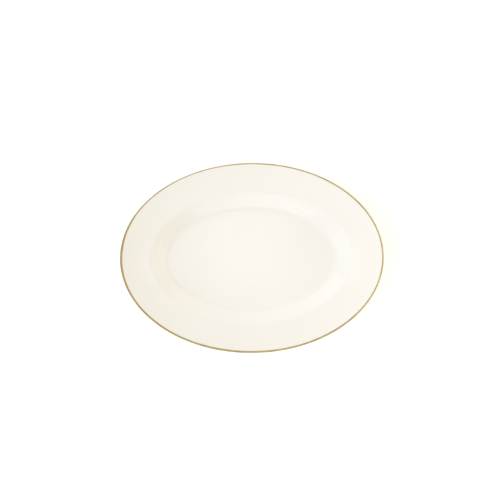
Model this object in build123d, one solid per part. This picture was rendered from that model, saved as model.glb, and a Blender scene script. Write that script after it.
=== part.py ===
"""An oval china serving platter: one pressed and fired body, its glaze in two coats, and a gilded lip.

Millimetres, +Z up, +X along the length. The origin is the middle of the plane that the foot stands on.
Every shape is one upright section carried round an oval, so the rim has the same width all round.
A place on the section is (t, z): t runs inward from the bare body's outer edge, and z runs up.
"""

from build123d import *
from math import cos, radians, sin
import os

# Overall size, over the gilding
LENGTH = 356.0
WIDTH = 268.8
HEIGHT = 27.5

# Coats, measured square to the surface
GLAZE = 0.20
GILDING = 0.12
GILDING_INWARD = 2.2  # how far the gold reaches over the upper side of the lip
GILDING_DOWN = 2.0  # how far it reaches down the outer side

# Body
LIP_RADIUS = 1.25
BASE_THICKNESS = 4.4

# Upper side, from the lip inwards: the run of each stretch, and its downward slope at its inner end
UPPER_SLOPE_AT_LIP = 16.0
UPPER_STRETCHES = (
    (36.6, 9.5),  # dished flange
    (4.4, 28.0),  # shoulder of the verge
    (2.4, 23.0),  # first fine step
    (3.4, 30.0),  # second fine step
    (6.2, 23.5),  # wall of the well
    (2.8, 29.5),  # third fine step
    (8.4, 0.0),  # hollow where the wall meets the floor
)

# Underside, from the lip inwards as far as the foot ring
UNDER_SLOPE_AT_LIP = 18.5
UNDER_STRETCHES = (
    (36.0, 12.0),  # flange
    (6.5, 27.0),  # shoulder
    (13.5, 26.0),  # wall
)

# Foot ring, as t: its ground face, and where its inner flank meets the recessed base
FOOT_OUTER_EDGE = 59.5
FOOT_INNER_EDGE = 62.3
FOOT_INNER_ROOT = 64.7
FOOT_CHAMFER = 0.6
FOOT_ROOT_RADIUS = 1.5
GROUND_OFF = 0.3  # pressed below the standing plane, then ground away flat

# The swept ring stops here, inside the hollow of the wall, and a flat disc fills the middle
RING_DEPTH = 72.0

BODY_HALF_LENGTH = LENGTH / 2 - GLAZE - GILDING
BODY_HALF_WIDTH = WIDTH / 2 - GLAZE - GILDING
BODY_HEIGHT = HEIGHT - GLAZE - GILDING
FAR = 400.0  # larger than any section, for cutting it


def on_section(t, z):
    """A place on the section, in the plane that it is drawn in."""
    return (BODY_HALF_LENGTH - t, z)


def run_inward(start, slope, stretches):
    """Tangent arcs from start, one for each stretch, and the place where the last one ends."""
    arcs = []
    t, z = start
    for run, next_slope in stretches:
        before, after = radians(slope), radians(next_slope)
        radius = run / (sin(after) - sin(before))
        end = (t + run, z + radius * (cos(after) - cos(before)))
        heading = (-cos(before), -sin(before))
        arcs.append(TangentArc(on_section(t, z), on_section(*end), tangent=heading))
        (t, z), slope = end, next_slope
    return arcs, (t, z)


def beside_lip(slope, side):
    """Where the round lip meets the upper side (side 1) or the underside (side -1)."""
    turn = radians(slope)
    middle = BODY_HEIGHT - LIP_RADIUS
    return (LIP_RADIUS * (1 + side * sin(turn)), middle + side * LIP_RADIUS * cos(turn))


def body_section():
    """The bare china, from its lip to the inner end of the swept ring."""
    lip_top = beside_lip(UPPER_SLOPE_AT_LIP, 1)
    lip_bottom = beside_lip(UNDER_SLOPE_AT_LIP, -1)
    upper, floor = run_inward(lip_top, UPPER_SLOPE_AT_LIP, UPPER_STRETCHES)
    under, foot_root = run_inward(lip_bottom, UNDER_SLOPE_AT_LIP, UNDER_STRETCHES)
    recess = floor[1] - BASE_THICKNESS
    lip = ThreePointArc(
        on_section(*lip_bottom),
        on_section(0, BODY_HEIGHT - LIP_RADIUS),
        on_section(*lip_top),
    )
    rest = Polyline(
        on_section(*floor),
        on_section(RING_DEPTH, floor[1]),
        on_section(RING_DEPTH, recess),
        on_section(FOOT_INNER_ROOT, recess),
        on_section(FOOT_INNER_EDGE + FOOT_CHAMFER, FOOT_CHAMFER),
        on_section(FOOT_INNER_EDGE, 0),
        on_section(FOOT_INNER_EDGE, -GROUND_OFF),
        on_section(FOOT_OUTER_EDGE, -GROUND_OFF),
        on_section(FOOT_OUTER_EDGE, 0),
        on_section(FOOT_OUTER_EDGE - FOOT_CHAMFER, FOOT_CHAMFER),
        on_section(*foot_root),
    )
    section = make_face(Curve() + [lip, *upper, *under, rest])
    roots = [on_section(*foot_root), on_section(FOOT_INNER_ROOT, recess)]
    corners = [v for v in section.vertices() if near_any(v, roots)]
    return fillet(corners, FOOT_ROOT_RADIUS)


def near_any(vertex, places):
    """Whether a corner of the section is one of these places."""
    return any(abs(vertex.X - x) + abs(vertex.Y - y) < 1e-3 for x, y in places)


def band(t_from, t_to, z_from, z_to):
    """A rectangle on the section, for cutting a coat to its extent."""
    corners = [(t_from, z_from), (t_to, z_from), (t_to, z_to), (t_from, z_to)]
    return make_face(Polyline(*(on_section(*c) for c in corners), close=True))


def round_oval(section):
    """Carries a section once round the oval of the body's outer edge."""
    path = Edge.make_ellipse(BODY_HALF_LENGTH, BODY_HALF_WIDTH)
    return sweep(Plane.XZ * section, path=path)


def fill_middle(ring):
    """Closes a swept ring with a flat disc of the same thickness as the ring's inner end."""
    inner_end = min(ring.faces(), key=lambda face: face.bounding_box().size.X)
    thickness = inner_end.bounding_box().size.Z
    outline = inner_end.edges().group_by(Axis.Z)[0]
    return ring + extrude(make_face(outline), thickness, dir=(0, 0, 1))


def write(name, shape, color):
    """Writes one node, as one solid with its own name."""
    solid = shape.solid()
    solid.label = name
    solid.color = color
    print(name, "volume", round(solid.volume), "valid", solid.is_valid)
    export_step(solid, os.path.join("parts", name + ".step"))


def main():
    """Builds the body, its two coats of glaze and its gilding."""
    os.makedirs("parts", exist_ok=True)
    body = body_section()
    glazed = offset(body, GLAZE)
    coat = glazed - body
    coat -= band(RING_DEPTH, FAR, -FAR, FAR)
    coat -= band(-FAR, FAR, -FAR, FOOT_CHAMFER)
    base_coat, main_coat = sorted(coat.faces(), key=lambda face: face.area)
    lip_zone = band(-FAR, GILDING_INWARD, BODY_HEIGHT - LIP_RADIUS - GILDING_DOWN, FAR)
    gilding = (offset(glazed, GILDING) - glazed) & lip_zone

    ground = split(fill_middle(round_oval(body)), Plane.XY, keep=Keep.TOP)
    write("china_body", ground, Color(0.93, 0.92, 0.88))
    write("glaze_coat", fill_middle(round_oval(main_coat)), Color(0.95, 0.92, 0.83))
    write("base_glaze", fill_middle(round_oval(base_coat)), Color(0.85, 0.88, 0.83))
    write("gold_rim_band", round_oval(gilding.face()), Color(0.80, 0.62, 0.28))


main()
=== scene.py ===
"""Looks for an oval china serving platter with a gilded lip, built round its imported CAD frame.

The section of the platter is worked out in millimetres, and its meshes are in metres, as the frame is.
"""

from math import cos, dist, exp, hypot, pi, radians, sin, tan

import bmesh
import bpy
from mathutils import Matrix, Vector


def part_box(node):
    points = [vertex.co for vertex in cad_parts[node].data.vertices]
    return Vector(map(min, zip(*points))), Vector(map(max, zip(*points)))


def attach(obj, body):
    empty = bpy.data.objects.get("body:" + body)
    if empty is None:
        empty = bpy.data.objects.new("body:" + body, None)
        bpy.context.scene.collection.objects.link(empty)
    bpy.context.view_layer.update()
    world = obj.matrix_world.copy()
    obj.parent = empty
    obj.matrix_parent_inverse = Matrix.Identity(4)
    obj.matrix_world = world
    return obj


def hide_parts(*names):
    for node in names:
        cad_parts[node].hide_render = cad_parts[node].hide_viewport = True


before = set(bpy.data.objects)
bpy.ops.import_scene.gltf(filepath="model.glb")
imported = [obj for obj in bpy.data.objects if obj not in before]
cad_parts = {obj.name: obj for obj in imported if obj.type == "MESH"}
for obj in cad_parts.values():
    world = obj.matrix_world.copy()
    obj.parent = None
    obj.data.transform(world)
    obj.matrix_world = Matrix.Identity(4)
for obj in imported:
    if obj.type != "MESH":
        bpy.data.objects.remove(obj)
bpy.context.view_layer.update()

MM = 0.001
BODY = "root"

# The platter over its gilding, in millimetres, from the frame
BOX_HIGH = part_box("gold_rim_band")[1]
HALF_LENGTH = BOX_HIGH.x / MM
HALF_WIDTH = BOX_HIGH.y / MM
HEIGHT = BOX_HIGH.z / MM

# Coats, measured square to the surface. Towards its edge a coat thins, over its last stretch.
GLAZE = 0.20
GLAZE_THINS_OVER = 1.2
GLAZE_EDGE_SHARE = 0.25
GILDING = 0.12
GILDING_THINS_OVER = 0.5
GILDING_EDGE_SHARE = 0.2
SEAT = 0.012  # gap between a coat and what it lies on, so that hidden faces never coincide
BARE_HALF_LENGTH = HALF_LENGTH - GLAZE - GILDING
BARE_HALF_WIDTH = HALF_WIDTH - GLAZE - GILDING
BARE_HEIGHT = HEIGHT - GLAZE - GILDING

# Section of the bare body. A place is (t, z): t runs inward from the bare edge, and z runs up.
# A stretch is its run and its downward slope, in degrees, at its inner end.
LIP_RADIUS = 1.25
BASE_THICKNESS = 4.4
UPPER_SLOPE_AT_LIP = 16.0
UPPER_STRETCHES = (
    (36.6, 9.5),  # dished flange
    (4.4, 28.0),  # shoulder of the verge
    (2.4, 23.0),  # first fine step
    (3.4, 30.0),  # second fine step
    (6.2, 23.5),  # wall of the well
    (2.8, 29.5),  # third fine step
    (8.4, 0.0),  # hollow where the wall meets the floor
)
UNDER_SLOPE_AT_LIP = 18.5
UNDER_STRETCHES = (
    (36.0, 12.0),  # flange
    (6.5, 27.0),  # shoulder
    (13.5, 26.0),  # wall
)
FOOT_OUTER_EDGE = 59.5
FOOT_INNER_EDGE = 62.3
FOOT_INNER_ROOT = 64.7
FOOT_CHAMFER = 0.6
FOOT_ROOT_RADIUS = 1.5
FOOT_WORN_RADIUS = 0.45  # where grinding meets the chamfer
RING_DEPTH = 72.0  # inside this the floor and the base are flat discs

# Extent of the gilding: inward over the lip as t, and down its outer side as z
GILDING_INWARD = 2.2
GILDING_LOW = BARE_HEIGHT - LIP_RADIUS - 2.0

# The gold's inner edge as a hand paints it. Its waves are (height, number round the oval, start).
# The line is a little narrower than its full extent, and wider towards the left end of the oval.
LINE_WAVES = ((0.20, 2, 0.0), (0.06, 8, 2.1), (0.04, 23, 0.0))
LINE_NARROWER = 0.25
LEFT_END_WIDER = 1.1
LEFT_END_TURN = 3.05  # radians from +X
LEFT_END_SPREAD = 0.45

# Mesh density
ROUND_STEPS = 300
MIDDLE_RINGS = 12
LIP_STEPS = 20
CORNER_STEPS = 8
LONG_STEP = 3.0
SHORT_STEP = 0.8
TURN_STEP = 1.2  # degrees
TINY = 0.001


# ---------------------------------------------------------------- section of the platter

def run_inward(start, slope, stretches):
    """Samples tangent arcs from start inwards, one for each (run, next slope) in stretches."""
    places = [start]
    for run, next_slope in stretches:
        t, z = places[-1]
        before, after = radians(slope), radians(next_slope)
        radius = run / (sin(after) - sin(before))
        steps = max(round(run / LONG_STEP), round(abs(next_slope - slope) / TURN_STEP))
        for k in range(1, steps + 1):
            turn = before + (after - before) * k / steps
            places.append((t + radius * (sin(turn) - sin(before)), z + radius * (cos(turn) - cos(before))))
        slope = next_slope
    return places


def between(start, end, share):
    """The place at this share of the way from start to end."""
    return (start[0] + (end[0] - start[0]) * share, start[1] + (end[1] - start[1]) * share)


def straight(start, end):
    """Samples a straight stretch, without its first place."""
    steps = max(1, round(dist(start, end) / SHORT_STEP))
    return [between(start, end, k / steps) for k in range(1, steps + 1)]


def rounded(corners):
    """Samples a path of straight stretches whose inner corners, each (t, z, radius), are rounded."""
    places = [corners[0][:2]]
    for before, corner, after in zip(corners, corners[1:], corners[2:]):
        point = Vector(corner[:2])
        back = (Vector(before[:2]) - point).normalized()
        ahead = (Vector(after[:2]) - point).normalized()
        half = back.angle(ahead) / 2
        middle = point + (back + ahead).normalized() * (corner[2] / sin(half))
        arm = point + back * (corner[2] / tan(half)) - middle
        turn_all = -arm.angle_signed(point + ahead * (corner[2] / tan(half)) - middle)
        places += straight(places[-1], tuple(middle + arm))
        for k in range(1, CORNER_STEPS + 1):
            turn = turn_all * k / CORNER_STEPS
            places.append((middle.x + arm.x * cos(turn) - arm.y * sin(turn),
                           middle.y + arm.x * sin(turn) + arm.y * cos(turn)))
    return places + straight(places[-1], corners[-1][:2])


def lip():
    """Samples the round lip, from its upper side over its edge to its underside."""
    first, last = radians(UPPER_SLOPE_AT_LIP), radians(UNDER_SLOPE_AT_LIP) - pi
    turns = [first + (last - first) * k / LIP_STEPS for k in range(LIP_STEPS + 1)]
    middle = BARE_HEIGHT - LIP_RADIUS
    return [(LIP_RADIUS * (1 + sin(turn)), middle + LIP_RADIUS * cos(turn)) for turn in turns]


def with_place(places, axis, value):
    """Adds a place where a coordinate of an outline (0 for t, 1 for z) first passes a value."""
    for k, (a, b) in enumerate(zip(places, places[1:])):
        if (a[axis] - value) * (b[axis] - value) < 0:
            added = between(a, b, (value - a[axis]) / (b[axis] - a[axis]))
            return places[:k + 1] + [added] + places[k + 1:]
    return places


def bare_section():
    """The bare body's outline, from its floor out over the lip and back under to its recessed base.

    It has a place at each edge of the gilding, and one where the gilding begins to thin.
    """
    edge = lip()
    upper = run_inward(edge[0], UPPER_SLOPE_AT_LIP, UPPER_STRETCHES)
    under = run_inward(edge[-1], UNDER_SLOPE_AT_LIP, UNDER_STRETCHES)
    for back in (0, GILDING_THINS_OVER):
        upper = with_place(upper, 0, GILDING_INWARD - back)
        under = with_place(under, 1, GILDING_LOW + back * sin(radians(UNDER_SLOPE_AT_LIP)))
    recess = upper[-1][1] - BASE_THICKNESS
    foot = rounded([
        (*under[-2], 0),
        (*under[-1], FOOT_ROOT_RADIUS),
        (FOOT_OUTER_EDGE - FOOT_CHAMFER, FOOT_CHAMFER, FOOT_WORN_RADIUS),
        (FOOT_OUTER_EDGE, 0, FOOT_WORN_RADIUS),
        (FOOT_INNER_EDGE, 0, FOOT_WORN_RADIUS),
        (FOOT_INNER_EDGE + FOOT_CHAMFER, FOOT_CHAMFER, FOOT_WORN_RADIUS),
        (FOOT_INNER_ROOT, recess, FOOT_ROOT_RADIUS),
        (RING_DEPTH, recess, 0),
    ])
    return upper[::-1] + edge[1:-1] + under[:-2] + foot


def raised(places, lift):
    """Moves each place of an outline off its surface by lift, a number or one number for each place."""
    lifts = lift if isinstance(lift, list) else [lift] * len(places)
    moved = []
    for k, (t, z) in enumerate(places):
        before, after = places[max(0, k - 1)], places[min(len(places) - 1, k + 1)]
        along = (after[0] - before[0], after[1] - before[1])
        length = hypot(*along)
        moved.append((t + lifts[k] * along[1] / length, z - lifts[k] * along[0] / length))
    return moved


def from_end(places):
    """The distance along an outline from each place to the last one."""
    gone = [0]
    for a, b in zip(places[::-1], places[-2::-1]):
        gone.append(gone[-1] + dist(a, b))
    return gone[::-1]


def thinned(full, edge_share, distance, over):
    """The thickness of a coat at this distance from its edge."""
    return full * min(1, edge_share + (1 - edge_share) * distance / over)


# ---------------------------------------------------------------- meshes

def oval_point(turn, t, z):
    """A place of the section, carried round the oval to this turn, in metres."""
    x, y = BARE_HALF_LENGTH * cos(turn), BARE_HALF_WIDTH * sin(turn)
    out_x, out_y = BARE_HALF_WIDTH * cos(turn), BARE_HALF_LENGTH * sin(turn)
    inward = -t / hypot(out_x, out_y)
    return Vector(((x + inward * out_x) * MM, (y + inward * out_y) * MM, z * MM))


def full_circle(steps):
    """Evenly spaced turns from 0, in radians."""
    return [2 * pi * k / steps for k in range(steps)]


def add_ring(bm, places):
    """Adds a vertex at each place."""
    return [bm.verts.new(place) for place in places]


def skin_rings(bm, rings, closed=False):
    """Joins each ring of vertices to the next with quads, and the last to the first if closed."""
    pairs = list(zip(rings, rings[1:])) + ([(rings[-1], rings[0])] if closed else [])
    for outer, inner in pairs:
        for k in range(len(outer)):
            n = (k + 1) % len(outer)
            bm.faces.new((outer[k], outer[n], inner[n], inner[k]))


def close_middle(bm, ring):
    """Fills a flat ring with rings that shrink to the middle, and a last small fan."""
    rings = [ring]
    for k in range(1, MIDDLE_RINGS):
        share = 1 - k / MIDDLE_RINGS
        rings.append(add_ring(bm, [Vector((v.co.x * share, v.co.y * share, v.co.z)) for v in ring]))
    skin_rings(bm, rings)
    middle = bm.verts.new((0, 0, ring[0].co.z))
    last = rings[-1]
    for k in range(len(last)):
        bm.faces.new((last[k], last[(k + 1) % len(last)], middle))


def smooth_object(name, bm):
    """Turns a finished bmesh into a smooth object in the scene, with all its faces outward."""
    bmesh.ops.recalc_face_normals(bm, faces=bm.faces)
    mesh = bpy.data.meshes.new(name)
    bm.to_mesh(mesh)
    bm.free()
    mesh.shade_smooth()
    piece = bpy.data.objects.new(name, mesh)
    bpy.context.scene.collection.objects.link(piece)
    return piece


def loft(name, section_at, ring_only=False):
    """Makes a closed smooth mesh from section_at(turn). A ring keeps its hole, other pieces fill it."""
    bm = bmesh.new()
    turns = full_circle(ROUND_STEPS)
    sections = [section_at(turn) for turn in turns]
    rings = []
    for k in range(len(sections[0])):
        rings.append(add_ring(bm, [oval_point(turn, *s[k]) for turn, s in zip(turns, sections)]))
    skin_rings(bm, rings, closed=ring_only)
    if not ring_only:
        close_middle(bm, rings[0])
        close_middle(bm, rings[-1])
    return smooth_object(name, bm)


# ---------------------------------------------------------------- pieces

def china_body(outline):
    """The bare fired body, a hair inside its coats."""
    inner = raised(outline, -SEAT)
    return loft("fired_china_body", lambda turn: inner)


def glaze_lifts(covered):
    """The thickness of the glaze at each place of an outline that ends at the glaze's edge."""
    return [thinned(GLAZE, GLAZE_EDGE_SHARE, d, GLAZE_THINS_OVER) for d in from_end(covered)]


def glaze_coat(outline):
    """The main coat: from the middle of the floor, out over the lip, to the foot's outer flank."""
    end = max(k for k, (t, z) in enumerate(outline) if t < FOOT_OUTER_EDGE and z >= FOOT_CHAMFER)
    covered = outline[:end + 1]
    shell = raised(covered, glaze_lifts(covered)) + covered[::-1]
    return loft("ivory_glaze_coat", lambda turn: shell)


def base_glaze(outline):
    """The coat on the recessed base, from its middle to the foot's inner flank."""
    ground = max(k for k, (t, z) in enumerate(outline) if z < FOOT_CHAMFER)
    covered = outline[:ground:-1]
    shell = covered + raised(covered, [-lift for lift in glaze_lifts(covered)])[::-1]
    return loft("ivory_base_glaze", lambda turn: shell)


def hand_lined(places, turn):
    """Moves the inner edge of the gold along the flange, as a painted line strays from its course."""
    wander = sum(height * sin(count * turn + start) for height, count, start in LINE_WAVES)
    # the gold line widens towards the left end of the oval
    wander += LEFT_END_WIDER * exp(-((turn - LEFT_END_TURN) / LEFT_END_SPREAD) ** 2) - LINE_NARROWER
    fall = tan(radians(UPPER_SLOPE_AT_LIP))
    moved = []
    for t, z in places:
        on_top = z > BARE_HEIGHT - LIP_RADIUS and t > LIP_RADIUS
        shift = wander * (t - LIP_RADIUS) / (GILDING_INWARD - LIP_RADIUS) if on_top else 0
        moved.append((t + shift, z - fall * shift))
    return moved


def gold_band(outline):
    """The fired gilding: a film round the lip that thins out at both of its edges."""
    first = min(k for k, (t, z) in enumerate(outline) if t < GILDING_INWARD + TINY)
    covered = [(t, z) for t, z in outline[first:] if z > GILDING_LOW - TINY]
    distances = from_end(covered)
    to_edge = [min(d, distances[0] - d) for d in distances]
    lifts = [thinned(GILDING, GILDING_EDGE_SHARE, d, GILDING_THINS_OVER) for d in to_edge]
    top = raised(covered, [GLAZE + lift for lift in lifts])
    under = raised(covered, GLAZE + SEAT)
    shell = top + under[::-1]
    return loft("gilded_lip_band", lambda turn: hand_lined(shell, turn), ring_only=True)


# ---------------------------------------------------------------- materials

def new_material(name):
    """A new node material, as itself, its node tree and its Principled shader."""
    material = bpy.data.materials.new(name)
    material.use_nodes = True
    return material, material.node_tree, material.node_tree.nodes["Principled BSDF"]


def noise(tree, scale, detail=2.0):
    """A noise pattern fixed to the object, in cycles per metre."""
    place = tree.nodes.new("ShaderNodeTexCoord")
    pattern = tree.nodes.new("ShaderNodeTexNoise")
    pattern.inputs["Scale"].default_value = scale
    pattern.inputs["Detail"].default_value = detail
    tree.links.new(place.outputs["Object"], pattern.inputs["Vector"])
    return pattern.outputs["Fac"]


def ramp(tree, value, stops):
    """Maps a value to colours through two (position, colour) stops."""
    node = tree.nodes.new("ShaderNodeValToRGB")
    for element, (position, color) in zip(node.color_ramp.elements, stops):
        element.position = position
        element.color = (*color, 1)
    tree.links.new(value, node.inputs["Fac"])
    return node.outputs["Color"]


def spread(tree, value, low, high):
    """Maps the middle range of a noise, 0.3 to 0.7, to between low and high."""
    node = tree.nodes.new("ShaderNodeMapRange")
    node.inputs["From Min"].default_value = 0.3
    node.inputs["From Max"].default_value = 0.7
    node.inputs["To Min"].default_value = low
    node.inputs["To Max"].default_value = high
    tree.links.new(value, node.inputs["Value"])
    return node.outputs["Result"]


def bump(tree, shader, height, strength, distance):
    """Gives a shader fine relief from a height pattern. The distance is in metres."""
    node = tree.nodes.new("ShaderNodeBump")
    node.inputs["Strength"].default_value = strength
    node.inputs["Distance"].default_value = distance
    tree.links.new(height, node.inputs["Height"])
    tree.links.new(node.outputs["Normal"], shader.inputs["Normal"])


def ivory_glaze():
    """A warm ivory glaze: clouded a little, with the faint waves of a fired surface."""
    material, tree, shader = new_material("ivory_glaze")
    color = ramp(tree, noise(tree, 9.0, 3.0), (
        (0.30, (0.862, 0.822, 0.769)),
        (0.70, (0.874, 0.837, 0.788)),
    ))
    tree.links.new(color, shader.inputs["Base Color"])
    tree.links.new(spread(tree, noise(tree, 30.0), 0.17, 0.24), shader.inputs["Roughness"])
    shader.inputs["IOR"].default_value = 1.5
    shader.inputs["Coat Weight"].default_value = 0.4
    shader.inputs["Coat Roughness"].default_value = 0.09
    bump(tree, shader, noise(tree, 60.0), 0.10, 0.0004)
    return material


def bare_china():
    """Fired china with no glaze, as the ground foot shows it: dry, chalky and faintly speckled."""
    material, tree, shader = new_material("bare_china")
    color = ramp(tree, noise(tree, 900.0, 4.0), (
        (0.32, (0.70, 0.655, 0.575)),
        (0.50, (0.78, 0.735, 0.655)),
    ))
    tree.links.new(color, shader.inputs["Base Color"])
    tree.links.new(spread(tree, noise(tree, 300.0), 0.6, 0.8), shader.inputs["Roughness"])
    bump(tree, shader, noise(tree, 2500.0, 4.0), 0.35, 0.0002)
    return material


def fired_gold():
    """Fired gold with a satin burnish, brushed on by hand."""
    material, tree, shader = new_material("fired_gold")
    color = ramp(tree, noise(tree, 70.0, 4.0), (
        (0.35, (0.48, 0.375, 0.165)),
        (0.65, (0.58, 0.47, 0.225)),
    ))
    tree.links.new(color, shader.inputs["Base Color"])
    shader.inputs["Metallic"].default_value = 0.75
    tree.links.new(spread(tree, noise(tree, 400.0, 3.0), 0.34, 0.46), shader.inputs["Roughness"])
    bump(tree, shader, noise(tree, 1200.0, 2.0), 0.15, 0.0001)
    return material


def studio_white():
    """The plain pale floor and backdrop, lit a little from within so that they stay white."""
    material, tree, shader = new_material("studio_white")
    color = ramp(tree, noise(tree, 2.0), (
        (0.3, (0.88, 0.88, 0.88)),
        (0.7, (0.90, 0.90, 0.90)),
    ))
    tree.links.new(color, shader.inputs["Base Color"])
    shader.inputs["Roughness"].default_value = 0.9
    shader.inputs["Emission Color"].default_value = (1, 1, 1, 1)
    shader.inputs["Emission Strength"].default_value = 0.22
    return material


# ---------------------------------------------------------------- camera, light and stage

CAMERA_ELEVATION = 72.15
CAMERA_TURN = -0.72
CAMERA_DISTANCE = 1.0
LENGTH_IN_PICTURE = 0.5282  # the platter's length, as a share of the picture's width
SHIFT_RIGHT = -0.0038  # both as shares of the picture's width
SHIFT_UP = 0.0076
SENSOR = 36.0

WORLD_COLOR = (1.0, 0.945, 0.74)
WORLD_STRENGTH = 0.563

# Lamps: name, azimuth from +X to +Y, elevation, distance, (width, height), power, colour, and
# whether the platter mirrors it. The largest isn't mirrored, so it leaves no glare in low views.
LAMPS = (
    ("left_window", 198, 24, 2.4, (4.4, 2.3), 79.2, (0.745, 0.815, 1.0), False),
    ("right_window", 10, 30, 1.5, (2.1, 1.25), 10.0, (0.98, 0.95, 0.90), True),
    ("back_panel", 90, 25, 2.4, (3.0, 1.4), 14.2, (0.80, 0.84, 1.0), True),
    ("front_panel", 270, 55, 2.4, (2.0, 1.0), 7.5, (0.75, 0.88, 1.0), True),
    ("skylight", 90, 70.5, 1.42, (0.28, 0.26), 0.28, (0.75, 0.72, 1.0), True),
)

# The floor, and the backdrop that sweeps up from its edge, in metres
FLOOR_RADIUS = 3.2
FLOOR_RINGS = 16
SWEEP_RADIUS = 1.6
SWEEP_RINGS = 16
STAGE_STEPS = 96
STAGE_Z = -0.0001


def make_camera():
    """A camera in front of the platter, high above the table."""
    data = bpy.data.cameras.new("camera")
    camera = bpy.data.objects.new("camera", data)
    bpy.context.scene.collection.objects.link(camera)
    lift, turn = radians(CAMERA_ELEVATION), radians(CAMERA_TURN)
    target = Vector((0, 0, HEIGHT * MM))
    back = Vector((sin(turn) * cos(lift), -cos(turn) * cos(lift), sin(lift)))
    camera.location = target + back * CAMERA_DISTANCE
    camera.rotation_euler = (-back).to_track_quat("-Z", "Y").to_euler()
    picture_width = 2 * HALF_LENGTH * MM / LENGTH_IN_PICTURE
    data.sensor_width = SENSOR
    data.lens = SENSOR * CAMERA_DISTANCE / picture_width
    data.shift_x = SHIFT_RIGHT
    data.shift_y = SHIFT_UP
    bpy.context.scene.camera = camera


def make_lamp(name, azimuth, elevation, distance, size, power, color, mirrored):
    """A soft box that looks at the platter."""
    data = bpy.data.lights.new(name, "AREA")
    data.shape = "RECTANGLE"
    data.size, data.size_y = size
    data.energy = power
    data.color = color
    lamp = bpy.data.objects.new(name, data)
    a, e = radians(azimuth), radians(elevation)
    away = Vector((cos(e) * cos(a), cos(e) * sin(a), sin(e)))
    lamp.location = away * distance
    lamp.rotation_euler = away.to_track_quat("Z", "Y").to_euler()
    lamp.visible_glossy = mirrored
    bpy.context.scene.collection.objects.link(lamp)


def make_world():
    """An even, warm surround."""
    world = bpy.data.worlds.new("studio")
    world.use_nodes = True
    background = world.node_tree.nodes["Background"]
    background.inputs["Color"].default_value = (*WORLD_COLOR, 1)
    background.inputs["Strength"].default_value = WORLD_STRENGTH
    bpy.context.scene.world = world


def stage_piece(name, section, material, capped=False):
    """Turns a section of (radius, z) in metres round the Z axis, as a part of the stage."""
    bm = bmesh.new()
    turns = full_circle(STAGE_STEPS)
    rings = [add_ring(bm, [(r * cos(turn), r * sin(turn), z) for turn in turns]) for r, z in section]
    skin_rings(bm, rings)
    if capped:
        bm.faces.new(rings[0])
    piece = smooth_object(name, bm)
    piece.data.materials.append(material)
    piece.location.z = STAGE_Z
    return piece


def make_stage():
    """A round pale floor, and a backdrop that sweeps up from its edge, well outside the lamps.

    Only the camera meets the backdrop, so it adds no light of its own to the platter.
    """
    flat = [(FLOOR_RADIUS * k / FLOOR_RINGS, 0) for k in range(1, FLOOR_RINGS + 1)]
    turns = [pi / 2 * k / SWEEP_RINGS for k in range(SWEEP_RINGS + 1)]
    sweep = [(FLOOR_RADIUS + SWEEP_RADIUS * sin(turn), SWEEP_RADIUS * (1 - cos(turn))) for turn in turns]
    white = studio_white()
    stage_piece("floor", flat, white, capped=True)
    backdrop = stage_piece("backdrop", sweep, white)
    backdrop.visible_diffuse = False
    backdrop.visible_glossy = False
    backdrop.visible_shadow = False


# ---------------------------------------------------------------- the scene

def place(piece, node, slot, material):
    """Hangs a finished piece on the frame in place of its CAD node."""
    piece.data.materials.append(material)
    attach(piece, BODY)
    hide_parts(node)


make_camera()
make_stage()
outline = bare_section()
glaze = ivory_glaze()
place(china_body(outline), "china_body", "fired_china", bare_china())
place(glaze_coat(outline), "glaze_coat", "ivory_glaze", glaze)
place(base_glaze(outline), "base_glaze", "ivory_glaze", glaze)
place(gold_band(outline), "gold_rim_band", "gilding", fired_gold())
make_world()
for lamp in LAMPS:
    make_lamp(*lamp)
bpy.context.scene.view_settings.view_transform = "Standard"
